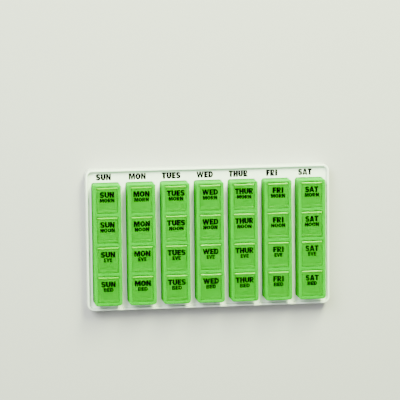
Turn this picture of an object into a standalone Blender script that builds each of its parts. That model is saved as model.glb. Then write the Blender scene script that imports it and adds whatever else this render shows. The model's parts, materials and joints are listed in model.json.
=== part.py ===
"""Weekly pill organizer: a white tray with seven lift-out day boxes, each with four hinged lids.

The frame is in metres, +Z up, with its origin on the underside of the tray, at the tray's middle.
+X runs from Sunday to Saturday, and +Y towards the strip that carries the days' names.
"""
import math

import bmesh
import bpy
from mathutils import Matrix

DAYS = ("sunday", "monday", "tuesday", "wednesday", "thursday", "friday", "saturday")
DOSES = ("morning", "noon", "evening", "bedtime")
PATTERN_DAY = "wednesday"

# Lids: a flat panel that hangs on a round barrel with a stub pin at each end
LID_REACH = 0.02245
LID_SIDE_GAP = 0.0003
LIP_FRONT_GAP = 0.00035
PANEL_DROP = 0.00075
PANEL_THICKNESS = 0.0011
LIP_LENGTH = 0.0023
LIP_DROP = 0.00035
LIP_THICKNESS = 0.00175
LIP_SLOPE = 0.0004
LIP_REST_GAP = 0.0003
TONGUE_WIDTH = 0.0130
TONGUE_THICKNESS = 0.0009
TONGUE_DEPTH = 0.0016
TONGUE_GAP = 0.0004

# Hinges: the lid's barrel and pins, and their blind holes in the side rails
BARREL_RADIUS = 0.00105
BARREL_GAP = 0.00035
PIN_RADIUS = 0.0004
PIN_REACH = 0.00105
PIN_SIDE_GAP = 0.00025
PIN_END_GAP = 0.0003

# Day boxes: a tub with four compartments and a rail all round its mouth
MOUTH_WIDTH = 0.0191
SIDE_RAIL = 0.0030
FRONT_RAIL = 0.0027
BACK_RAIL = 0.00185
BOX_HEIGHT = 0.0237
BOX_FLOOR = 0.0015
FRONT_CORNER_RADIUS = 0.0028
BACK_CORNER_RADIUS = 0.0018
BOX_EDGE_ROUND = 0.0007
BOX_LEAN_SHARE = 0.005
CELL_CORNER_RADIUS = 0.0020
CELL_LEAN_SHARE = 0.0125
FRONT_LEDGE = 0.0012
BACK_LEDGE = 0.0004
DIVIDER_RAIL = 0.0030
SIDE_LEDGE = 0.0003
CORE_WALL = 0.0012

# Tray: a floor with seven pockets, a land around them and a rim wall all round
BOX_SPACING = 0.0061
TRAY_FLOOR = 0.0016
POCKET_DEPTH = 0.0084
POCKET_GAP = 0.0004
POCKET_WALL = 0.0016
BOX_REST_GAP = 0.0003
LAND_THICKNESS = 0.0016
RIM_HEIGHT = 0.0040
RIM_WALL = 0.0020
RIM_EDGE_ROUND = 0.0006
TRAY_CORNER_RADIUS = 0.0060
SIDE_MARGIN = 0.00575
FRONT_MARGIN = 0.0064
HEADER_DEPTH = 0.01255

# How far each cutter runs past the face that it opens
OVERRUN = 0.0010

CORNER_STEPS = 4
CELL_CORNER_STEPS = 3
TRAY_CORNER_STEPS = 6
EDGE_STEPS = 2
BARREL_STEPS = 12
PIN_SIDES = 8

# Places worked out from the sizes above, in a day box's own frame: z is zero at its underside
LID_WIDTH = MOUTH_WIDTH - 2 * LID_SIDE_GAP
AXIS_HEIGHT = BOX_HEIGHT - BARREL_RADIUS
LEDGE_HEIGHT = BOX_HEIGHT - LIP_DROP - LIP_THICKNESS - LIP_REST_GAP
BACK_REACH = BARREL_RADIUS + BARREL_GAP
FRONT_REACH = LID_REACH + LIP_FRONT_GAP
LID_PITCH = BACK_REACH + FRONT_REACH + DIVIDER_RAIL
FACE_WIDTH = MOUTH_WIDTH + 2 * SIDE_RAIL
ROWS_LENGTH = BACK_REACH + (len(DOSES) - 1) * LID_PITCH + FRONT_REACH
FACE_LENGTH = BACK_RAIL + ROWS_LENGTH + FRONT_RAIL
FIRST_AXIS_Y = FACE_LENGTH / 2 - BACK_RAIL - BACK_REACH
AXES_Y = [FIRST_AXIS_Y - row * LID_PITCH for row in range(len(DOSES))]

# Places in the organizer's frame
COLUMN_PITCH = FACE_WIDTH + BOX_SPACING
LAND_HEIGHT = TRAY_FLOOR + POCKET_DEPTH
BOX_BOTTOM = TRAY_FLOOR + BOX_REST_GAP


def box_size_at(height):
    """Outer width and length of a day box at a height above its underside."""
    inset = 2 * BOX_LEAN_SHARE * (BOX_HEIGHT - height)
    return FACE_WIDTH - inset, FACE_LENGTH - inset


def grown(size, by):
    """A width and length with the same amount added at each side."""
    return size[0] + 2 * by, size[1] + 2 * by


LAND_BOX_SIZE = box_size_at(LAND_HEIGHT - BOX_BOTTOM)
TRAY_WIDTH = (len(DAYS) - 1) * COLUMN_PITCH + LAND_BOX_SIZE[0] + 2 * SIDE_MARGIN
TRAY_LENGTH = HEADER_DEPTH + LAND_BOX_SIZE[1] + FRONT_MARGIN
TRAY_HEIGHT = LAND_HEIGHT + RIM_HEIGHT
BOXES_Y = TRAY_LENGTH / 2 - HEADER_DEPTH - LAND_BOX_SIZE[1] / 2
COLUMNS_X = [(column - (len(DAYS) - 1) / 2) * COLUMN_PITCH for column in range(len(DAYS))]


def clear_scene():
    """Remove the start-up objects."""
    for thing in list(bpy.data.objects):
        bpy.data.objects.remove(thing, do_unlink=True)


def new_collection(name):
    """A collection in the scene."""
    group = bpy.data.collections.new(name)
    bpy.context.scene.collection.children.link(group)
    return group


def plastic(name, colour, roughness, see_through):
    """A moulded plastic, clear to the share see_through."""
    material = bpy.data.materials.new(name)
    material.use_nodes = True
    shader = material.node_tree.nodes["Principled BSDF"]
    shader.inputs["Base Color"].default_value = (*colour, 1.0)
    shader.inputs["Roughness"].default_value = roughness
    shader.inputs["Metallic"].default_value = 0.0
    shader.inputs["Transmission Weight"].default_value = see_through
    return material


def add_block(bm, centre, heights, size_low, size_high, corners, steps):
    """Add an upright block whose sides lean evenly from foot to top. The two radii round its
    front and its back corners."""
    verts = bmesh.ops.create_cube(bm, size=1.0)["verts"]
    for vert in verts:
        size, height = (size_high, heights[1]) if vert.co.z > 0 else (size_low, heights[0])
        vert.co = (centre[0] + vert.co.x * size[0], centre[1] + vert.co.y * size[1], height)
    uprights = [edge for edge in bm.edges
                if edge.verts[0] in verts and edge.verts[0].co.z != edge.verts[1].co.z]
    front = [edge for edge in uprights if edge.verts[0].co.y < centre[1]]
    back = [edge for edge in uprights if edge.verts[0].co.y > centre[1]]
    for edges, radius in zip((front, back), corners):
        bmesh.ops.bevel(bm, geom=edges, offset=radius, offset_type="OFFSET", segments=steps,
                        profile=0.5, affect="EDGES")


def add_box_block(bm, middle, foot, heights, by):
    """Add a block with a day box's outline, made larger by the same amount at each side, where
    the box itself would stand with its underside at the height foot."""
    low, high = [grown(box_size_at(height - foot), by) for height in heights]
    add_block(bm, middle, heights, low, high, (FRONT_CORNER_RADIUS + by, BACK_CORNER_RADIUS + by),
              CORNER_STEPS)


def add_pin(bm, centre, radius, length):
    """Add a round pin that lies along X."""
    place = Matrix.Translation(centre) @ Matrix.Rotation(math.pi / 2, 4, "Y")
    bmesh.ops.create_cone(bm, cap_ends=True, segments=PIN_SIDES, radius1=radius,
                          radius2=radius, depth=length, matrix=place)


def round_edges_at(bm, height, radius, steps):
    """Round every edge that lies flat at one height."""
    flat = [edge for edge in bm.edges
            if all(abs(vert.co.z - height) < BOX_REST_GAP / 10 for vert in edge.verts)]
    bmesh.ops.bevel(bm, geom=flat, offset=radius, offset_type="OFFSET", segments=steps,
                    profile=0.5, affect="EDGES")


def as_object(bm, name, group, location=(0, 0, 0)):
    """Turn the bmesh into a placed object of a collection."""
    mesh = bpy.data.meshes.new(name)
    bm.to_mesh(mesh)
    bm.free()
    thing = bpy.data.objects.new(name, mesh)
    thing.location = location
    group.objects.link(thing)
    return thing


def as_cutter(bm, name, group, location=(0, 0, 0)):
    """A guide solid that shapes another piece and isn't part of the object."""
    thing = as_object(bm, name, group, location)
    thing.hide_render = True
    thing.display_type = "WIRE"
    return thing


def shape_with(piece, tool, operation):
    """Cut or join a piece with another solid."""
    modifier = piece.modifiers.new(tool.name, "BOOLEAN")
    modifier.object = tool
    modifier.operation = operation
    modifier.solver = "EXACT"


def finished_mesh(piece, name, material):
    """The piece's mesh with its modifiers applied, shaded smooth up to sharp edges."""
    bpy.context.view_layer.update()
    evaluated = piece.evaluated_get(bpy.context.evaluated_depsgraph_get())
    mesh = bpy.data.meshes.new_from_object(evaluated)
    mesh.name = name
    mesh.materials.clear()
    mesh.materials.append(material)
    mesh.shade_smooth()
    mesh.set_sharp_from_angle(angle=math.radians(35))
    return mesh


def seat_span(row):
    """The lid seat's front and back edge in one row of a day box."""
    return AXES_Y[row] - FRONT_REACH, AXES_Y[row] + BACK_REACH


def cell_span(row):
    """A compartment's front and back edge at its mouth, inside the seat's ledges."""
    front, back = seat_span(row)
    return front + FRONT_LEDGE, back - BACK_LEDGE


def box_mesh(cutters, material):
    """One day box: the tub, its four cells, lid seats, pin holes and hollow dividers."""
    place = (COLUMNS_X[DAYS.index(PATTERN_DAY)], BOXES_Y, BOX_BOTTOM)
    bm = bmesh.new()
    add_box_block(bm, (0, 0), 0, (0, BOX_HEIGHT), 0)
    round_edges_at(bm, BOX_HEIGHT, BOX_EDGE_ROUND, EDGE_STEPS)
    round_edges_at(bm, 0, BOX_EDGE_ROUND, 1)
    blank = as_cutter(bm, "box_blank", cutters, place)

    cells, seats, holes, cores = bmesh.new(), bmesh.new(), bmesh.new(), bmesh.new()
    top = BOX_HEIGHT + OVERRUN
    hole_length = MOUTH_WIDTH + 2 * (PIN_REACH + PIN_END_GAP)
    for row, axis_y in enumerate(AXES_Y):
        front, back = cell_span(row)
        mouth = (MOUTH_WIDTH - 2 * SIDE_LEDGE, back - front)
        low = grown(mouth, -CELL_LEAN_SHARE * (LEDGE_HEIGHT - BOX_FLOOR))
        high = grown(mouth, CELL_LEAN_SHARE * (top - LEDGE_HEIGHT))
        add_block(cells, (0, (front + back) / 2), (BOX_FLOOR, top), low, high,
                  (CELL_CORNER_RADIUS, CELL_CORNER_RADIUS), CELL_CORNER_STEPS)
        seat_front, seat_back = seat_span(row)
        seat = (MOUTH_WIDTH, seat_back - seat_front)
        add_block(seats, (0, (seat_front + seat_back) / 2), (LEDGE_HEIGHT, top), seat, seat,
                  (SIDE_LEDGE, SIDE_LEDGE), 1)
        add_pin(holes, (0, axis_y, AXIS_HEIGHT), PIN_RADIUS + PIN_SIDE_GAP, hole_length)
    for row in range(len(DOSES) - 1):
        near = cell_span(row)[0]
        far = cell_span(row + 1)[1]
        core = (box_size_at(0)[0] - 2 * CORE_WALL, near - far - 2 * CORE_WALL)
        add_block(cores, (0, (near + far) / 2), (-OVERRUN, LEDGE_HEIGHT - CORE_WALL), core,
                  core, (SIDE_LEDGE, SIDE_LEDGE), 1)
    for name, tool in (("box_cells", cells), ("box_lid_seats", seats), ("box_pin_holes", holes),
                       ("box_divider_cores", cores)):
        shape_with(blank, as_cutter(tool, name, cutters, place), "DIFFERENCE")
    return finished_mesh(blank, "day_box", material)


def lid_outline():
    """A lid's side view, as points forward of and above its hinge axis."""
    panel_top = BARREL_RADIUS - PANEL_DROP
    panel_bottom = panel_top - PANEL_THICKNESS
    lip_top = BARREL_RADIUS - LIP_DROP
    lip_bottom = lip_top - LIP_THICKNESS
    lip_start = LID_REACH - LIP_LENGTH
    begin = math.asin(panel_top / BARREL_RADIUS)
    turn = math.tau + math.asin(panel_bottom / BARREL_RADIUS) - begin
    angles = [begin + turn * step / BARREL_STEPS for step in range(BARREL_STEPS + 1)]
    barrel = [(BARREL_RADIUS * math.cos(a), BARREL_RADIUS * math.sin(a)) for a in angles]
    under = [(lip_start, panel_bottom), (lip_start, lip_bottom), (LID_REACH, lip_bottom)]
    over = [(LID_REACH, lip_top - LIP_SLOPE), (LID_REACH - LIP_SLOPE, lip_top),
            (lip_start + LIP_SLOPE, lip_top), (lip_start, panel_top)]
    return barrel + under + over


def lid_mesh(cutters, material):
    """One lid: barrel, panel and lip as one section along X, with its pins and its tongue."""
    curve = bpy.data.curves.new("lid_section", "CURVE")
    curve.dimensions = "2D"
    curve.fill_mode = "BOTH"
    curve.extrude = LID_WIDTH / 2
    points = lid_outline()
    spline = curve.splines.new("POLY")
    spline.points.add(len(points) - 1)
    for point, (forward, up) in zip(spline.points, points):
        point.co = (forward, up, 0, 1)
    spline.use_cyclic_u = True
    section = bpy.data.objects.new("lid_section", curve)
    cutters.objects.link(section)
    bpy.context.view_layer.update()
    evaluated = section.evaluated_get(bpy.context.evaluated_depsgraph_get())
    bm = bmesh.new()
    bm.from_mesh(bpy.data.meshes.new_from_object(evaluated))
    bmesh.ops.remove_doubles(bm, verts=bm.verts, dist=PIN_SIDE_GAP / 100)
    # Forward of the axis is -Y, and up is +Z
    turn = Matrix(((0, 0, -1), (-1, 0, 0), (0, 1, 0)))
    bmesh.ops.transform(bm, matrix=turn.to_4x4(), verts=bm.verts)
    bmesh.ops.recalc_face_normals(bm, faces=bm.faces)
    bpy.data.objects.remove(section, do_unlink=True)
    place = lid_place(COLUMNS_X[DAYS.index(PATTERN_DAY)], 0)
    blank = as_cutter(bm, "lid_blank", cutters, place)

    pins = bmesh.new()
    add_pin(pins, (0, 0, 0), PIN_RADIUS, MOUTH_WIDTH + 2 * PIN_REACH)
    shape_with(blank, as_cutter(pins, "lid_pins", cutters, place), "UNION")
    tongue = bmesh.new()
    tongue_front = FRONT_REACH - FRONT_LEDGE - TONGUE_GAP
    lip_bottom = BARREL_RADIUS - LIP_DROP - LIP_THICKNESS
    size = (TONGUE_WIDTH, TONGUE_THICKNESS)
    add_block(tongue, (0, TONGUE_THICKNESS / 2 - tongue_front),
              (lip_bottom - TONGUE_DEPTH, lip_bottom + LIP_THICKNESS / 2), size, size,
              (TONGUE_THICKNESS / 4, TONGUE_THICKNESS / 4), 1)
    shape_with(blank, as_cutter(tongue, "lid_tongue", cutters, place), "UNION")
    return finished_mesh(blank, "lid", material)


def lid_place(column_x, row):
    """A hinge axis's middle, in the organizer's frame."""
    return column_x, BOXES_Y + AXES_Y[row], BOX_BOTTOM + AXIS_HEIGHT


def build_tray(group, cutters, material):
    """The tray: rim wall, land, seven pockets standing down to the table, hollow between them."""
    outer = (TRAY_WIDTH, TRAY_LENGTH)
    inner = grown(outer, -RIM_WALL)
    outer_corners = (TRAY_CORNER_RADIUS, TRAY_CORNER_RADIUS)
    inner_corners = (TRAY_CORNER_RADIUS - RIM_WALL, TRAY_CORNER_RADIUS - RIM_WALL)
    bm = bmesh.new()
    add_block(bm, (0, 0), (0, TRAY_HEIGHT), outer, outer, outer_corners, TRAY_CORNER_STEPS)
    round_edges_at(bm, TRAY_HEIGHT, RIM_EDGE_ROUND, EDGE_STEPS)
    tray = as_object(bm, "tray", group)

    room = bmesh.new()
    add_block(room, (0, 0), (LAND_HEIGHT, TRAY_HEIGHT + OVERRUN), inner, inner, inner_corners,
              TRAY_CORNER_STEPS)
    shape_with(tray, as_cutter(room, "tray_room", cutters), "DIFFERENCE")
    under = bmesh.new()
    add_block(under, (0, 0), (-OVERRUN, LAND_HEIGHT - LAND_THICKNESS), inner, inner,
              inner_corners, TRAY_CORNER_STEPS)
    shape_with(tray, as_cutter(under, "tray_underside", cutters), "DIFFERENCE")

    cups, pockets = bmesh.new(), bmesh.new()
    for column_x in COLUMNS_X:
        middle = (column_x, BOXES_Y)
        add_box_block(cups, middle, BOX_BOTTOM, (0, LAND_HEIGHT - LAND_THICKNESS / 2),
                      POCKET_GAP + POCKET_WALL)
        add_box_block(pockets, middle, BOX_BOTTOM, (TRAY_FLOOR, LAND_HEIGHT + OVERRUN),
                      POCKET_GAP)
    shape_with(tray, as_cutter(cups, "tray_cups", cutters), "UNION")
    shape_with(tray, as_cutter(pockets, "tray_pockets", cutters), "DIFFERENCE")
    tray.data.materials.append(material)


def build_day(group, day, column_x, shared_box, shared_lid):
    """One day box in its pocket, with its four lids on their hinge axes."""
    box = bpy.data.objects.new(day + "_box", shared_box)
    box.location = (column_x, BOXES_Y, BOX_BOTTOM)
    group.objects.link(box)
    for row, dose in enumerate(DOSES):
        lid = bpy.data.objects.new(day + "_" + dose + "_lid", shared_lid)
        lid.parent = box
        lid.location = (0, AXES_Y[row], AXIS_HEIGHT)
        group.objects.link(lid)


def main():
    clear_scene()
    parts = new_collection("weekly_pill_organizer")
    cutters = new_collection("cutters")
    white = plastic("white_plastic", (0.78, 0.82, 0.78), 0.4, 0.0)
    box_green = plastic("box_green_plastic", (0.16, 0.60, 0.12), 0.25, 0.4)
    lid_green = plastic("lid_green_plastic", (0.14, 0.52, 0.07), 0.25, 0.4)
    build_tray(parts, cutters, white)
    shared_box = box_mesh(cutters, box_green)
    shared_lid = lid_mesh(cutters, lid_green)
    for day, column_x in zip(DAYS, COLUMNS_X):
        build_day(parts, day, column_x, shared_box, shared_lid)


main()
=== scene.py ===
"""Looks of the weekly pill organizer: white tray, seven lift-out day boxes, 28 hinged lids."""

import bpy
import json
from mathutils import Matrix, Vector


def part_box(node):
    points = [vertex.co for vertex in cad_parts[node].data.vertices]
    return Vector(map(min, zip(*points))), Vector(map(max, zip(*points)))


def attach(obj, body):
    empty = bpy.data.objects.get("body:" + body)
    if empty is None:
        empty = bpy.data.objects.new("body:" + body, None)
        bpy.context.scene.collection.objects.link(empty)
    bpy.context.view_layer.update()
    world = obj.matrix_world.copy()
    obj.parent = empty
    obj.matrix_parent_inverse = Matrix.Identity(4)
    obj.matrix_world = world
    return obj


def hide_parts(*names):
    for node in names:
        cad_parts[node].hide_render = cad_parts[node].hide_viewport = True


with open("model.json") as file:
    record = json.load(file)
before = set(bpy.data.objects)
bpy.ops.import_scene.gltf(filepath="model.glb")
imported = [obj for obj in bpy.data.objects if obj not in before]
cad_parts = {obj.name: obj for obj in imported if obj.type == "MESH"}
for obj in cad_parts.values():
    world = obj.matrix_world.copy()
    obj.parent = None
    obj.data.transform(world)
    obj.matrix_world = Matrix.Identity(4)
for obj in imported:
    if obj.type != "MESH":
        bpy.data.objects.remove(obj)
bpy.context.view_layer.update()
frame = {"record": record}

import json
import math

import bmesh
import bpy
import numpy as np
from mathutils import Euler, Matrix, Vector
from mathutils.geometry import tessellate_polygon

# The tray: one moulding in white polypropylene. A rim wall runs round a flat land, and seven
# pockets sink from the land to the table, each with its own wall, hollow between them underneath.
DAYS = ("sunday", "monday", "tuesday", "wednesday", "thursday", "friday", "saturday")
RIM_WALL = 0.0020
RIM_ROUND = 0.0006
RIM_HEIGHT = 0.0040
LAND_THICKNESS = 0.0016
TRAY_FLOOR = 0.0016
TRAY_CORNER = 0.0060
POCKET_GAP = 0.0004
POCKET_WALL = 0.0016
EDGE_SOFTNESS = 0.0003
FILLET = 0.0005
CREASE_DEGREES = 40
BOX_LEAN_SHARE = 0.005
BOX_CORNER_RADII = (0.0018, 0.0028)
WHITE = (0.80, 0.87, 0.80)
WHITE_SHADE = (0.77, 0.84, 0.77)


def arc(centre, radius, start, stop, steps=4):
    """Points on a circle in the profile's plane: centre + radius * (cos a, sin a), with a going
    evenly from start to stop, in degrees."""
    a = np.radians(np.linspace(start, stop, steps + 1))
    return np.stack((centre[0] + radius * np.cos(a), centre[1] + radius * np.sin(a)), axis=-1)


def profile(*stretches):
    """One list of (inset, height) points from arcs and single points."""
    return np.concatenate([np.atleast_2d(np.asarray(stretch, float)) for stretch in stretches])


def carried(middle, width, length, corners, line, steps=10):
    """A profile carried round a rounded rectangle, with one radius for its two back corners and
    one for its two front corners. A point is its corner's centre plus
    (radius - inset) * (cos t, sin t), where t turns a quarter circle at each corner and inset and
    height come from the profile, so each row of the result is one trip round."""
    back, front = corners
    corner = np.array((back, back, front, front))[:, None]
    t = np.linspace(0, np.pi / 2, steps + 1)
    side_x = np.array([1, -1, -1, 1])[:, None]
    side_y = np.array([1, 1, -1, -1])[:, None]
    turn = np.arange(4)[:, None] * np.pi / 2 + t
    reach = corner - line[:, 0][:, None, None]
    x = middle[0] + side_x * (width / 2 - corner) + reach * np.cos(turn)
    y = middle[1] + side_y * (length / 2 - corner) + reach * np.sin(turn)
    z = np.broadcast_to(line[:, 1][:, None, None], x.shape)
    return np.stack((x, y, z), axis=-1).reshape(len(line), -1, 3)


def new_shell():
    """An empty list of points and faces."""
    return {"points": [], "faces": [], "count": 0}


def add_band(shell, rows):
    """Join each row of points to the next with four-sided faces, closed round the row.
    Returns the numbers of the points."""
    numbers = shell["count"] + np.arange(rows.shape[0] * rows.shape[1]).reshape(rows.shape[:2])
    ahead = np.roll(numbers, -1, axis=1)
    quads = np.stack((numbers[:-1], ahead[:-1], ahead[1:], numbers[1:]), axis=-1)
    shell["points"].append(rows.reshape(-1, 3))
    shell["faces"] += quads.reshape(-1, 4).tolist()
    shell["count"] += numbers.size
    return numbers


def add_flat(shell, outer, *openings):
    """Fill the flat between an outline and the openings inside it with triangles."""
    places = np.concatenate(shell["points"])
    outlines = [[Vector(place) for place in places[ring]] for ring in (outer, *openings)]
    numbers = np.concatenate((outer, *openings))
    for corners in tessellate_polygon(outlines):
        shell["faces"].append([int(numbers[k]) for k in corners])


def closed_mesh(name, shell):
    """The shell as a mesh whose faces all point outwards."""
    mesh = bpy.data.meshes.new(name)
    mesh.from_pydata(np.concatenate(shell["points"]).tolist(), [], shell["faces"])
    bm = bmesh.new()
    bm.from_mesh(mesh)
    bmesh.ops.recalc_face_normals(bm, faces=bm.faces)
    bm.to_mesh(mesh)
    bm.free()
    mesh.shade_smooth()
    mesh.set_sharp_from_angle(angle=math.radians(CREASE_DEGREES))
    return mesh


def place_piece(name, mesh, material, body, stands_for=None):
    """Put a finished mesh in the scene, on its body."""
    mesh.materials.clear()
    mesh.materials.append(material)
    piece = bpy.data.objects.new(name, mesh)
    bpy.context.scene.collection.objects.link(piece)
    if stands_for:
        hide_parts(stands_for)
    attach(piece, body)
    return piece


def keep_flats_flat(piece):
    """Let the large flat faces set the shading beside their rounded edges."""
    weighted = piece.modifiers.new("flat_faces_first", "WEIGHTED_NORMAL")
    weighted.keep_sharp = True
    weighted.weight = 100


def node_tools(material):
    """Short calls for adding and linking a material's nodes."""
    tree = material.node_tree

    def add(kind, **settings):
        node = tree.nodes.new(kind)
        for name, value in settings.items():
            setattr(node, name, value)
        return node

    return add, tree.links.new


def moulded_plastic(name, colour, shade, roughness, cloud_scale, grain_scale, grain_depth):
    """Moulded plastic: slow clouds of a second tint, and a fine satin grain from the mould."""
    material = bpy.data.materials.new(name)
    material.use_nodes = True
    shader = material.node_tree.nodes["Principled BSDF"]
    add, link = node_tools(material)
    place = add("ShaderNodeTexCoord")
    clouds = add("ShaderNodeTexNoise")
    clouds.inputs["Scale"].default_value = cloud_scale
    clouds.inputs["Detail"].default_value = 3.0
    link(place.outputs["Object"], clouds.inputs["Vector"])
    tint = add("ShaderNodeMix", data_type="RGBA")
    tint.inputs["A"].default_value = (*colour, 1.0)
    tint.inputs["B"].default_value = (*shade, 1.0)
    link(clouds.outputs["Fac"], tint.inputs["Factor"])
    link(tint.outputs["Result"], shader.inputs["Base Color"])
    sheen = add("ShaderNodeMapRange")
    sheen.inputs["To Min"].default_value = roughness[0]
    sheen.inputs["To Max"].default_value = roughness[1]
    link(clouds.outputs["Fac"], sheen.inputs["Value"])
    link(sheen.outputs["Result"], shader.inputs["Roughness"])
    grain = add("ShaderNodeTexNoise")
    grain.inputs["Scale"].default_value = grain_scale
    grain.inputs["Detail"].default_value = 2.0
    link(place.outputs["Object"], grain.inputs["Vector"])
    bump = add("ShaderNodeBump")
    bump.inputs["Strength"].default_value = 0.15
    bump.inputs["Distance"].default_value = grain_depth
    link(grain.outputs["Fac"], bump.inputs["Height"])
    link(bump.outputs["Normal"], shader.inputs["Normal"])
    return material


tray_low, tray_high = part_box("tray")
tray_width = tray_high[0] - tray_low[0]
tray_length = tray_high[1] - tray_low[1]
rim_top = tray_high[2]
land = rim_top - RIM_HEIGHT
ceiling = land - LAND_THICKNESS
box_bounds = {day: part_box(day + "_box") for day in DAYS}
box_middles = {day: ((low[0] + high[0]) / 2, (low[1] + high[1]) / 2)
               for day, (low, high) in box_bounds.items()}
first_low, first_high = box_bounds[DAYS[0]]
face_width = first_high[0] - first_low[0]
face_length = first_high[1] - first_low[1]
box_top = first_high[2]
land_inset = BOX_LEAN_SHARE * (box_top - land)
pocket_width = face_width - 2 * land_inset + 2 * POCKET_GAP
pocket_length = face_length - 2 * land_inset + 2 * POCKET_GAP


def tray_mesh():
    """The whole tray: its rim skin, seven pockets and seven pocket walls, and the flats between."""
    shell = new_shell()
    rim = profile(
        arc((RIM_WALL + FILLET, ceiling - FILLET), FILLET, 90, 180),
        arc((RIM_WALL - EDGE_SOFTNESS, EDGE_SOFTNESS), EDGE_SOFTNESS, 0, -90),
        arc((EDGE_SOFTNESS, EDGE_SOFTNESS), EDGE_SOFTNESS, -90, -180),
        arc((RIM_ROUND, rim_top - RIM_ROUND), RIM_ROUND, 180, 90, 6),
        arc((RIM_WALL - RIM_ROUND, rim_top - RIM_ROUND), RIM_ROUND, 90, 0, 6),
        arc((RIM_WALL + FILLET, land + FILLET), FILLET, 180, 270))
    skin = add_band(shell, carried((0, 0), tray_width, tray_length, (TRAY_CORNER, TRAY_CORNER),
                                   rim, 16))
    pocket = profile(
        arc((-EDGE_SOFTNESS, land - EDGE_SOFTNESS), EDGE_SOFTNESS, 90, 0),
        arc((FILLET, TRAY_FLOOR + FILLET), FILLET, 180, 270))
    wall = profile(
        arc((-FILLET, ceiling - FILLET), FILLET, 90, 0),
        arc((EDGE_SOFTNESS, EDGE_SOFTNESS), EDGE_SOFTNESS, 180, 270))
    pocket_corners = [corner + POCKET_GAP for corner in BOX_CORNER_RADII]
    wall_corners = [corner + POCKET_WALL for corner in pocket_corners]
    mouths, roots = [], []
    for middle in box_middles.values():
        inside = add_band(shell, carried(middle, pocket_width, pocket_length, pocket_corners,
                                         pocket))
        add_flat(shell, inside[-1])
        mouths.append(inside[0])
        outside = add_band(shell, carried(
            middle, pocket_width + 2 * POCKET_WALL, pocket_length + 2 * POCKET_WALL,
            wall_corners, wall))
        add_flat(shell, outside[-1])
        roots.append(outside[0])
    add_flat(shell, skin[-1], *mouths)
    add_flat(shell, skin[0], *roots)
    return closed_mesh("tray_shell", shell)


tray_white = moulded_plastic("tray_white_plastic", WHITE, WHITE_SHADE, roughness=(0.38, 0.46),
                             cloud_scale=18.0, grain_scale=2600.0, grain_depth=0.00006)
tray_shader = tray_white.node_tree.nodes["Principled BSDF"]
tray_shader.inputs["Subsurface Weight"].default_value = 0.15
tray_shader.inputs["Subsurface Radius"].default_value = (1.0, 1.0, 0.9)
tray_shader.inputs["Subsurface Scale"].default_value = 0.002
tray = place_piece("tray_shell", tray_mesh(), tray_white, "tray", "tray")
keep_flats_flat(tray)

# The day names on the tray's strip: black ink, stamped flat on the land behind the boxes, in
# plain bold capitals. They stand a little left of the boxes' middles and closer together, to
# match the photograph, and are drawn larger than there so that they stay readable.
INK_THICKNESS = 0.00004
INK = (0.0006, 0.0008, 0.0006)
INK_THIN = (0.0015, 0.0018, 0.0015)
LETTER_GAP = 0.05
STRIP_WEIGHT = (0.44, 0.28)
DAY_WORDS = {"sunday": ("SUN", 0.0130), "monday": ("MON", 0.0148), "tuesday": ("TUES", 0.0163),
             "wednesday": ("WED", 0.0146), "thursday": ("THUR", 0.0167), "friday": ("FRI", 0.0099),
             "saturday": ("SAT", 0.0120)}
STRIP_WORD_STRETCH = 1.05
STRIP_WORD_HEIGHT = 0.0058
STRIP_WORD_BEHIND = 0.0054
STRIP_WORD_ASIDE = -0.0026
STRIP_WORD_SPREAD = 0.99


def oval(centre, radii, start, stop, steps=8):
    """Points on an ellipse: centre + radii * (cos a, sin a), with a going evenly from start to
    stop, in degrees."""
    a = np.radians(np.linspace(start, stop, steps + 1))
    return np.asarray(centre) + np.stack((radii[0] * np.cos(a), radii[1] * np.sin(a)), axis=-1)


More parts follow.
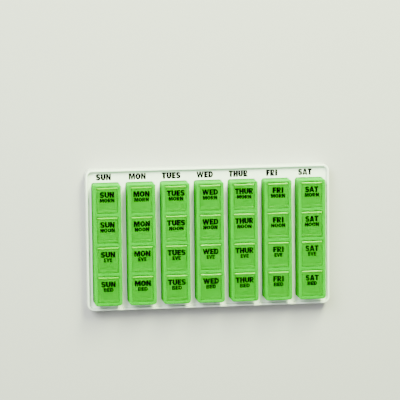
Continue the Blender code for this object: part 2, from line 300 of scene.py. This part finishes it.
def bold_capitals(weight):
    """Each capital that the words need, one unit tall: its width and its outlines, first the
    outside and then the holes. Straight parts are corners joined by lines, round parts ellipses.
    The weight is how wide a stem and how thick a bar is."""
    s, b = weight
    low, high = (1 - b) / 2, (1 + b) / 2
    slit = (1 - 3 * b) / 2
    return {
        "A": (1.06, [[(0, 0), (0.31, 1), (0.75, 1), (1.06, 0), (0.69, 0), (0.655, 0.14),
                      (0.405, 0.14), (0.37, 0)], [(0.455, 0.36), (0.605, 0.36), (0.53, 0.64)]]),
        "B": (0.88, [profile((0, 0), (0, 1), oval((0.54, 0.76), (0.30, 0.24), 90, -90),
                             oval((0.56, 0.27), (0.32, 0.27), 90, -90)),
                     profile((s, 0.61), (s, 0.79), oval((0.50, 0.70), (0.07, 0.09), 90, -90)),
                     profile((s, 0.21), (s, 0.40), oval((0.52, 0.305), (0.08, 0.095), 90, -90))]),
        "D": (0.96, [profile((0, 0), (0, 1), oval((0.46, 0.5), (0.50, 0.5), 90, -90, 14)),
                     oval((s, 0.5), (0.96 - 1.85 * s, 0.5 - b), 90, -90, 14)]),
        "E": (0.78, [[(0, 0), (0, 1), (0.78, 1), (0.78, 1 - b), (s, 1 - b), (s, high), (0.72, high),
                      (0.72, low), (s, low), (s, b), (0.78, b), (0.78, 0)]]),
        "F": (0.74, [[(0, 0), (0, 1), (0.74, 1), (0.74, 1 - b), (s, 1 - b), (s, high), (0.66, high),
                      (0.66, low), (s, low), (s, 0)]]),
        "H": (0.98, [[(0, 0), (0, 1), (s, 1), (s, high), (0.98 - s, high), (0.98 - s, 1), (0.98, 1),
                      (0.98, 0), (0.98 - s, 0), (0.98 - s, low), (s, low), (s, 0)]]),
        "I": (s, [[(0, 0), (0, 1), (s, 1), (s, 0)]]),
        "M": (1.20, [[(0, 0), (0, 1), (0.44, 1), (0.60, 0.50), (0.76, 1), (1.20, 1), (1.20, 0),
                      (0.88, 0), (0.88, 0.58), (0.71, 0), (0.49, 0), (0.32, 0.58), (0.32, 0)]]),
        "N": (0.94, [[(0, 0), (0, 1), (0.36, 1), (0.60, 0.52), (0.60, 1), (0.94, 1), (0.94, 0),
                      (0.58, 0), (0.34, 0.48), (0.34, 0)]]),
        "O": (1.02, [oval((0.51, 0.5), (0.51, 0.5), 0, 345, 23),
                     oval((0.51, 0.5), (0.52 - s, 0.5 - b), 0, 345, 23)]),
        "R": (0.94, [profile((0, 0), (0, 1), oval((0.56, 0.70), (0.32, 0.30), 90, -90),
                             (0.64, 0.41), (0.94, 0), (0.56, 0), (0.39, 0.36), (s, 0.36), (s, 0)),
                     profile((s, 0.58), (s, 0.79), oval((0.50, 0.685), (0.08, 0.105), 90, -90))]),
        "S": (0.86, [profile(
            oval((0.32, (1 + b + slit) / 2), (0.32, (1 - b - slit) / 2), 270, 90, 12),
            oval((0.54, 1 - b), (0.32, b), 90, 0), (0.9 * s, 1 - b), (0.9 * s, 1 - b - slit),
            oval((0.54, (1 - b - slit) / 2), (0.32, (1 - b - slit) / 2), 90, -90, 12),
            oval((0.32, b), (0.32, b), -90, -180), (0.86 - 0.9 * s, b),
            (0.86 - 0.9 * s, b + slit))]),
        "T": (0.86, [[(0, 1 - b), (0, 1), (0.86, 1), (0.86, 1 - b), (0.43 + s / 2, 1 - b),
                      (0.43 + s / 2, 0), (0.43 - s / 2, 0), (0.43 - s / 2, 1 - b)]]),
        "U": (0.98, [profile((0, 1), (s, 1), oval((0.49, 0.40), (0.49 - s, 0.40 - b), 180, 360, 12),
                             (0.98 - s, 1), (0.98, 1),
                             oval((0.49, 0.40), (0.49, 0.40), 0, -180, 12))]),
        "V": (1.02, [[(0, 1), (0.36, 1), (0.51, 0.46), (0.66, 1), (1.02, 1), (0.69, 0),
                      (0.33, 0)]]),
        "W": (1.46, [[(0, 1), (0.33, 1), (0.43, 0.48), (0.56, 1), (0.90, 1), (1.03, 0.48),
                      (1.13, 1), (1.46, 1), (1.17, 0), (0.87, 0), (0.73, 0.48), (0.59, 0),
                      (0.29, 0)]]),
    }


def word_mesh(word, capitals, width, height, middle, bottom):
    """A word as thin flat letters side by side, scaled in x and y to its width and height."""
    shell = new_shell()
    span = sum(capitals[letter][0] for letter in word) + LETTER_GAP * (len(word) - 1)
    start = 0.0
    for letter in word:
        advance, outlines = capitals[letter]
        rings = []
        for outline in outlines:
            flat = np.asarray(outline, float) + (start, 0) - (span / 2, 0.5)
            flat = np.tile(flat * (width / span, height) + middle, (2, 1, 1))
            heights = np.broadcast_to(np.array((bottom, bottom + INK_THICKNESS))[:, None, None],
                                      (2, flat.shape[1], 1))
            rings.append(add_band(shell, np.concatenate((flat, heights), axis=-1)))
        add_flat(shell, *(ring[0] for ring in rings))
        add_flat(shell, *(ring[1] for ring in rings))
        start += advance + LETTER_GAP
    return closed_mesh(word, shell)


def ink_material():
    """Black ink, a little thin and uneven where the stamp pressed less."""
    material = bpy.data.materials.new("black_ink")
    material.use_nodes = True
    shader = material.node_tree.nodes["Principled BSDF"]
    shader.inputs["Roughness"].default_value = 0.8
    shader.inputs["Specular IOR Level"].default_value = 0.0
    add, link = node_tools(material)
    place = add("ShaderNodeTexCoord")
    specks = add("ShaderNodeTexNoise")
    specks.inputs["Scale"].default_value = 1400.0
    link(place.outputs["Object"], specks.inputs["Vector"])
    tone = add("ShaderNodeMix", data_type="RGBA")
    tone.inputs["A"].default_value = (*INK, 1.0)
    tone.inputs["B"].default_value = (*INK_THIN, 1.0)
    link(specks.outputs["Fac"], tone.inputs["Factor"])
    link(tone.outputs["Result"], shader.inputs["Base Color"])
    return material


ink = ink_material()
strip_capitals = bold_capitals(STRIP_WEIGHT)
for day, (middle_x, middle_y) in box_middles.items():
    word, width = DAY_WORDS[day]
    spot = (middle_x * STRIP_WORD_SPREAD + STRIP_WORD_ASIDE,
            middle_y + face_length / 2 + STRIP_WORD_BEHIND)
    print_mesh = word_mesh(word, strip_capitals, width * STRIP_WORD_STRETCH, STRIP_WORD_HEIGHT,
                           spot, land)
    place_piece("strip_" + day, print_mesh, ink, "tray")

# The day boxes: seven long tubs in translucent green polypropylene, all from one mould. Four
# compartments open in the top, each inside a sunk seat for its lid, and the walls between them
# are hollow from below. Blind holes in the side rails take the lids' pins.
DOSES = ("morning", "noon", "evening", "bedtime")
BARREL_RADIUS = 0.00105
BACK_REACH = 0.0014
FRONT_REACH = 0.0228
MOUTH_WIDTH = 0.0191
LEDGE_DROP = 0.0024
FRONT_LEDGE = 0.0012
BACK_LEDGE = 0.0004
SIDE_LEDGE = 0.0003
BOX_ROUND = 0.0007
BOX_FLOOR = 0.0015
SEAT_ROUND = 0.0003
LEDGE_ROUND = 0.00010
CELL_CORNER = 0.0020
CELL_LEAN_SHARE = 0.0125
CELL_FILLET = 0.0012
CORE_WALL = 0.0012
PIN_HOLE_RADIUS = 0.00065
PIN_HOLE_DEPTH = 0.00135
BOX_GREEN = (0.007, 0.34, 0.0003)
BOX_GREEN_SHADE = (0.006, 0.32, 0.0002)

box_bottom = first_low[2]
box_height = box_top - box_bottom
axis_height = box_height - BARREL_RADIUS
hinges = {joint["child"]: joint["pos_m"] for joint in frame["record"]["behaviour"]["joints"]
          if joint["type"] == "hinge"}
axes_y = [hinges[DAYS[0] + "_" + dose + "_lid"][1] - box_middles[DAYS[0]][1] for dose in DOSES]


def day_box_mesh():
    """One day box about its own middle, with z zero at its underside."""
    shell = new_shell()
    lean = BOX_LEAN_SHARE * box_height
    skin = profile(
        arc((lean + BOX_ROUND, BOX_ROUND), BOX_ROUND, -90, -180),
        arc((BOX_ROUND, box_height - BOX_ROUND), BOX_ROUND, 180, 90, 6))
    outside = add_band(shell, carried((0, 0), face_width, face_length, BOX_CORNER_RADII, skin, 12))
    ledge = box_height - LEDGE_DROP
    seat_line = profile(
        arc((-SEAT_ROUND, box_height - SEAT_ROUND), SEAT_ROUND, 90, 0, 3), (0, ledge))
    cell_lean = CELL_LEAN_SHARE * (ledge - BOX_FLOOR)
    cell_line = profile(
        arc((-LEDGE_ROUND, ledge - LEDGE_ROUND), LEDGE_ROUND, 90, 0, 2),
        arc((cell_lean + CELL_FILLET, BOX_FLOOR + CELL_FILLET), CELL_FILLET, 180, 270))
    seats, spans = [], []
    for axis_y in axes_y:
        front, back = axis_y - FRONT_REACH, axis_y + BACK_REACH
        seat = add_band(shell, carried((0, (front + back) / 2), MOUTH_WIDTH, back - front,
                                       (2 * SIDE_LEDGE, 2 * SIDE_LEDGE), seat_line, 4))
        front, back = front + FRONT_LEDGE, back - BACK_LEDGE
        cell = add_band(shell, carried((0, (front + back) / 2), MOUTH_WIDTH - 2 * SIDE_LEDGE,
                                       back - front, (CELL_CORNER, CELL_CORNER), cell_line, 6))
        add_flat(shell, seat[-1], cell[0])
        add_flat(shell, cell[-1])
        seats.append(seat[0])
        spans.append((front, back))
    cores = []
    core_line = profile((-SEAT_ROUND, 0), (0, SEAT_ROUND), (0, ledge - CORE_WALL))
    for (near, _), (_, far) in zip(spans, spans[1:]):
        core = add_band(shell, carried((0, (near + far) / 2), face_width - 2 * lean - 2 * CORE_WALL,
                                       near - far - 2 * CORE_WALL,
                                       (2 * SIDE_LEDGE, 2 * SIDE_LEDGE), core_line, 3))
        add_flat(shell, core[-1])
        cores.append(core[0])
    add_flat(shell, outside[-1], *seats)
    add_flat(shell, outside[0], *cores)
    return closed_mesh("day_box", shell)


def rod_mesh(name, places, radius, length, sides):
    """Round rods along x, one at each (y, z): radius * (cos a, sin a) round the place, closed by
    a flat at each end."""
    shell = new_shell()
    a = np.linspace(0, 2 * np.pi, sides, endpoint=False)
    for y, z in places:
        ring = np.stack((y + radius * np.cos(a), z + radius * np.sin(a)), axis=-1)
        ends = np.array((-length / 2, length / 2))[:, None]
        rows = np.concatenate((np.broadcast_to(ends[:, None], (2, sides, 1)),
                               np.broadcast_to(ring, (2, sides, 2))), axis=-1)
        numbers = add_band(shell, rows)
        shell["faces"] += [numbers[0].tolist(), numbers[1].tolist()]
    return closed_mesh(name, shell)


def finished_mesh(piece):
    """The piece's mesh with its modifiers applied."""
    bpy.context.view_layer.update()
    evaluated = piece.evaluated_get(bpy.context.evaluated_depsgraph_get())
    return bpy.data.meshes.new_from_object(evaluated)


def combined(mesh, other, operation):
    """Cut one mesh out of another, or join them, and return the result."""
    piece = bpy.data.objects.new("blank", mesh)
    tool = bpy.data.objects.new("tool", other)
    for thing in (piece, tool):
        bpy.context.scene.collection.objects.link(thing)
    modifier = piece.modifiers.new("shape", "BOOLEAN")
    modifier.object = tool
    modifier.operation = operation
    modifier.solver = "EXACT"
    result = finished_mesh(piece)
    for thing in (piece, tool):
        bpy.data.objects.remove(thing, do_unlink=True)
    return result


def moved(mesh, name, place):
    """A copy of a mesh with its points moved to a place."""
    copy = mesh.copy()
    copy.name = name
    copy.transform(Matrix.Translation(place))
    return copy


def clear_plastic(material, see_through, glow, depth, gloss):
    """Let light into a plastic: part passes through it, part spreads inside it."""
    shader = material.node_tree.nodes["Principled BSDF"]
    shader.inputs["Transmission Weight"].default_value = see_through
    shader.inputs["Subsurface Weight"].default_value = glow
    shader.inputs["Subsurface Radius"].default_value = (0.5, 1.0, 0.35)
    shader.inputs["Subsurface Scale"].default_value = depth
    shader.inputs["IOR"].default_value = 1.49
    shader.inputs["Specular IOR Level"].default_value = gloss


box_green = moulded_plastic("box_green_plastic", BOX_GREEN, BOX_GREEN_SHADE,
                            roughness=(0.30, 0.34), cloud_scale=26.0, grain_scale=3000.0,
                            grain_depth=0.00003)
clear_plastic(box_green, see_through=0.15, glow=1.0, depth=0.012, gloss=0.0)
holes = rod_mesh("pin_holes", [(y, axis_height) for y in axes_y], PIN_HOLE_RADIUS,
                 MOUTH_WIDTH + 2 * PIN_HOLE_DEPTH, 20)
box_mesh = combined(day_box_mesh(), holes, "DIFFERENCE")
for day, (middle_x, middle_y) in box_middles.items():
    place = (middle_x, middle_y, box_bottom)
    shell_piece = place_piece(day + "_box_shell", moved(box_mesh, day + "_box_shell", place),
                              box_green, day + "_box", day + "_box")
    keep_flats_flat(shell_piece)

# The lids: 28 flat covers in the same translucent green, a touch deeper, all from one mould. A
# round barrel with two stub pins is the hinge, and its crest carries a paler green, a painted
# highlight. A raised lip at the other end is pushed up to open the lid, and a tongue under the lip
# holds it shut.
LID_SIDE_GAP = 0.0003
LID_REACH = 0.02245
PANEL_DROP = 0.00075
PANEL_THICKNESS = 0.0011
LIP_LENGTH = 0.0023
LIP_DROP = 0.00035
LIP_THICKNESS = 0.00175
LIP_ROUND = 0.0002
LIP_ROOT = 0.00005
PIN_RADIUS = 0.0004
PIN_REACH = 0.00105
TONGUE_WIDTH = 0.0130
TONGUE_THICKNESS = 0.0009
TONGUE_DEPTH = 0.0016
TONGUE_GAP = 0.0004
LID_EDGE = 0.00014
LID_EDGE_DEGREES = 50
LID_GREEN = (0.019, 0.37, 0.0003)
LID_GREEN_SHADE = (0.013, 0.32, 0.0002)
# A paler green painted on the barrels' crests: a painted highlight, not the plastic's own colour.
BARREL_PAINTED_HIGHLIGHT = (0.11, 0.64, 0.0002)
PAINTED_HIGHLIGHT_FADE = 0.00008
LID_GLINT = (0.8, 1.0, 0.5)

panel_top = BARREL_RADIUS - PANEL_DROP
panel_bottom = panel_top - PANEL_THICKNESS
lip_top = BARREL_RADIUS - LIP_DROP
lip_bottom = lip_top - LIP_THICKNESS


def lid_section():
    """A lid seen from its side, as (forward, up) from its hinge axis: a round barrel, a straight
    panel, and a lip whose corners are quarter circles."""
    first = math.degrees(math.asin(panel_top / BARREL_RADIUS))
    last = 360 + math.degrees(math.asin(panel_bottom / BARREL_RADIUS))
    lip_start = LID_REACH - LIP_LENGTH
    return profile(
        arc((0, 0), BARREL_RADIUS, first, last, 28),
        (lip_start, panel_bottom), (lip_start, lip_bottom),
        arc((LID_REACH - LIP_ROUND, lip_bottom + LIP_ROUND), LIP_ROUND, -90, 0),
        arc((LID_REACH - LIP_ROUND, lip_top - LIP_ROUND), LIP_ROUND, 0, 90),
        arc((lip_start + LIP_ROOT, lip_top - LIP_ROOT), LIP_ROOT, 90, 180),
        arc((lip_start - LIP_ROOT, panel_top + LIP_ROOT), LIP_ROOT, 0, -90, 3))


def lid_mesh():
    """One lid about its hinge axis: the section carried along x, joined to its pins and tongue."""
    section = lid_section()
    half_width = MOUTH_WIDTH / 2 - LID_SIDE_GAP
    x = np.broadcast_to(np.array((-half_width, half_width))[:, None, None], (2, len(section), 1))
    rows = np.concatenate((x, np.broadcast_to(section * (-1, 1), (2, *section.shape))), axis=-1)
    shell = new_shell()
    numbers = add_band(shell, rows)
    shell["faces"] += [numbers[0].tolist(), numbers[1].tolist()]
    blank = closed_mesh("lid_blank", shell)
    pins = rod_mesh("lid_pins", [(0, 0)], PIN_RADIUS, MOUTH_WIDTH + 2 * PIN_REACH, 16)
    blank = combined(blank, pins, "UNION")
    tongue = new_shell()
    tongue_front = FRONT_REACH - FRONT_LEDGE - TONGUE_GAP
    tongue_round = TONGUE_THICKNESS / 3
    line = profile(arc((tongue_round, lip_bottom - TONGUE_DEPTH + tongue_round), tongue_round,
                       270, 180), (0, lip_bottom + LIP_THICKNESS / 2))
    corner = (TONGUE_THICKNESS - LID_EDGE) / 2
    block = add_band(tongue, carried((0, TONGUE_THICKNESS / 2 - tongue_front), TONGUE_WIDTH,
                                     TONGUE_THICKNESS, (corner, corner), line, 4))
    add_flat(tongue, block[0])
    add_flat(tongue, block[-1])
    blank = combined(blank, closed_mesh("lid_tongue", tongue), "UNION")
    piece = bpy.data.objects.new("lid_blank", blank)
    bpy.context.scene.collection.objects.link(piece)
    bevel = piece.modifiers.new("soft_edges", "BEVEL")
    bevel.width = LID_EDGE
    bevel.segments = 3
    bevel.limit_method = "ANGLE"
    bevel.angle_limit = math.radians(LID_EDGE_DEGREES)
    keep_flats_flat(piece)
    result = finished_mesh(piece)
    bpy.data.objects.remove(piece, do_unlink=True)
    return result


def paint_barrel_highlight(material, lid_colour_ends):
    """Mix a paler green in above the lips, where only the round barrels reach, as a painted
    highlight. It stands for the light that shines in them, which the lamps alone don't give."""
    shader = material.node_tree.nodes["Principled BSDF"]
    add, link = node_tools(material)
    place = add("ShaderNodeTexCoord")
    parts = add("ShaderNodeSeparateXYZ")
    link(place.outputs["Object"], parts.inputs["Vector"])
    highlight_band = add("ShaderNodeMapRange")
    highlight_band.inputs["From Min"].default_value = lid_colour_ends
    highlight_band.inputs["From Max"].default_value = lid_colour_ends + PAINTED_HIGHLIGHT_FADE
    link(parts.outputs["Z"], highlight_band.inputs["Value"])
    painted_highlight = add("ShaderNodeMix", data_type="RGBA")
    painted_highlight.inputs["B"].default_value = (*BARREL_PAINTED_HIGHLIGHT, 1.0)
    link(shader.inputs["Base Color"].links[0].from_socket, painted_highlight.inputs["A"])
    link(highlight_band.outputs["Result"], painted_highlight.inputs["Factor"])
    link(painted_highlight.outputs["Result"], shader.inputs["Base Color"])


lid_green = moulded_plastic("lid_green_plastic", LID_GREEN, LID_GREEN_SHADE,
                            roughness=(0.16, 0.24), cloud_scale=30.0, grain_scale=3000.0,
                            grain_depth=0.00003)
clear_plastic(lid_green, see_through=0.42, glow=1.0, depth=0.003, gloss=0.25)
lid_shader = lid_green.node_tree.nodes["Principled BSDF"]
lid_shader.inputs["Specular Tint"].default_value = (*LID_GLINT, 1.0)
# Paint the paler highlight green on the barrel crests, above the lips.
paint_barrel_highlight(lid_green, box_bottom + axis_height + lip_top + PAINTED_HIGHLIGHT_FADE / 2)
one_lid = lid_mesh()
for day in DAYS:
    for dose in DOSES:
        lid = day + "_" + dose + "_lid"
        place_piece(lid + "_shell", moved(one_lid, lid + "_shell", hinges[lid]), lid_green, lid,
                    lid)

# The print on the lids: the day over the time of day, stamped in black ink on the sunk panel
# nearer to the hinge. Plain abbreviations again, and again larger than in the photograph.
DOSE_WORDS = {"morning": ("MORN", 0.0132), "noon": ("NOON", 0.0132), "evening": ("EVE", 0.0075),
              "bedtime": ("BED", 0.0090)}
DAY_WORD_HEIGHT = 0.0052
DOSE_WORD_HEIGHT = 0.0036
DAY_WORD_FORWARD = 0.0058
DOSE_WORD_FORWARD = 0.0109
LID_WEIGHT = (0.38, 0.25)

lid_capitals = bold_capitals(LID_WEIGHT)
for day in DAYS:
    for dose in DOSES:
        lid = day + "_" + dose + "_lid"
        hinge_x, hinge_y, hinge_z = hinges[lid]
        for (word, width), height, forward in ((DAY_WORDS[day], DAY_WORD_HEIGHT, DAY_WORD_FORWARD),
                                               (DOSE_WORDS[dose], DOSE_WORD_HEIGHT,
                                                DOSE_WORD_FORWARD)):
            print_mesh = word_mesh(word, lid_capitals, width, height, (hinge_x, hinge_y - forward),
                                   hinge_z + panel_top)
            place_piece(lid + "_print_" + word.lower(), print_mesh, ink, lid)

# The floor: a plain pale sheet under the tray.
FLOOR_SIZE = 3.0
FLOOR_DROP = 0.0001
FLOOR_GREY = (0.44, 0.43, 0.44)

floor_mesh = bpy.data.meshes.new("floor")
floor_mesh.from_pydata([(x * FLOOR_SIZE / 2, y * FLOOR_SIZE / 2, -FLOOR_DROP)
                        for x, y in ((-1, -1), (1, -1), (1, 1), (-1, 1))], [], [(0, 1, 2, 3)])
floor = bpy.data.objects.new("floor", floor_mesh)
floor_paint = bpy.data.materials.new("pale_floor")
floor_paint.use_nodes = True
floor_shader = floor_paint.node_tree.nodes["Principled BSDF"]
floor_shader.inputs["Base Color"].default_value = (*FLOOR_GREY, 1.0)
floor_shader.inputs["Roughness"].default_value = 0.8
floor_mesh.materials.append(floor_paint)
bpy.context.scene.collection.objects.link(floor)

# The light: a tall panel behind that the hinge barrels mirror, a broad one behind on the left,
# weak ones overhead and on the right, and a surround that is bright low down and dim overhead.
MIDDLE = Vector((0.0, 0.0, 0.02))
SURROUND_COLOUR = (0.95, 1.0, 0.97)
SURROUND_HEIGHTS = (0.3, 0.9)
SURROUND_STRENGTHS = (0.3, 0.1)


def soft_light(name, direction, distance, size, power, colour):
    """A square light panel that faces the organizer's middle from a direction."""
    data = bpy.data.lights.new(name, "AREA")
    data.shape = "RECTANGLE"
    data.size, data.size_y = size
    data.energy = power
    data.color = colour
    lamp = bpy.data.objects.new(name, data)
    lamp.location = MIDDLE + Vector(direction).normalized() * distance
    lamp.rotation_euler = (MIDDLE - lamp.location).to_track_quat("-Z", "Y").to_euler()
    bpy.context.scene.collection.objects.link(lamp)


def pale_surround():
    """A world whose strength falls from low down to nearly overhead."""
    world = bpy.data.worlds.new("pale_surround")
    world.use_nodes = True
    background = world.node_tree.nodes["Background"]
    background.inputs["Color"].default_value = (*SURROUND_COLOUR, 1.0)
    add, link = node_tools(world)
    direction = add("ShaderNodeTexCoord")
    parts = add("ShaderNodeSeparateXYZ")
    link(direction.outputs["Generated"], parts.inputs["Vector"])
    fall = add("ShaderNodeMapRange")
    fall.inputs["From Min"].default_value = SURROUND_HEIGHTS[0]
    fall.inputs["From Max"].default_value = SURROUND_HEIGHTS[1]
    fall.inputs["To Min"].default_value = SURROUND_STRENGTHS[0]
    fall.inputs["To Max"].default_value = SURROUND_STRENGTHS[1]
    link(parts.outputs["Z"], fall.inputs["Value"])
    link(fall.outputs["Result"], background.inputs["Strength"])
    return world


soft_light("mirrored_panel", (0.22, 0.70, 0.70), 1.4, (0.4, 0.9), 100.0, (0.82, 1.0, 0.55))
soft_light("left_panel", (-0.45, 0.50, 0.75), 1.8, (0.8, 0.8), 70.0, (0.92, 1.0, 0.88))
soft_light("high_panel", (-0.27, 0.15, 1.0), 1.8, (0.5, 0.5), 12.0, (0.92, 1.0, 0.90))
soft_light("right_panel", (1.2, 0.3, 1.0), 1.8, (1.2, 1.2), 10.0, (1.0, 1.0, 1.0))
bpy.context.scene.world = pale_surround()

# The camera: a long lens about two metres away, above the organizer and a little to its upper
# left, at the photograph's angle.
CAMERA_PLACE = (-0.2700, 0.2872, 1.9666)
CAMERA_TURN_DEGREES = (-7.215, -7.733, -0.665)
CAMERA_LENS = 196.4

camera_data = bpy.data.cameras.new("camera")
camera_data.lens = CAMERA_LENS
camera_data.sensor_width = 36.0
camera_data.clip_start = 0.05
camera_data.clip_end = 20.0
camera = bpy.data.objects.new("camera", camera_data)
camera.location = CAMERA_PLACE
camera.rotation_euler = Euler([math.radians(angle) for angle in CAMERA_TURN_DEGREES])
bpy.context.scene.collection.objects.link(camera)
bpy.context.scene.camera = camera
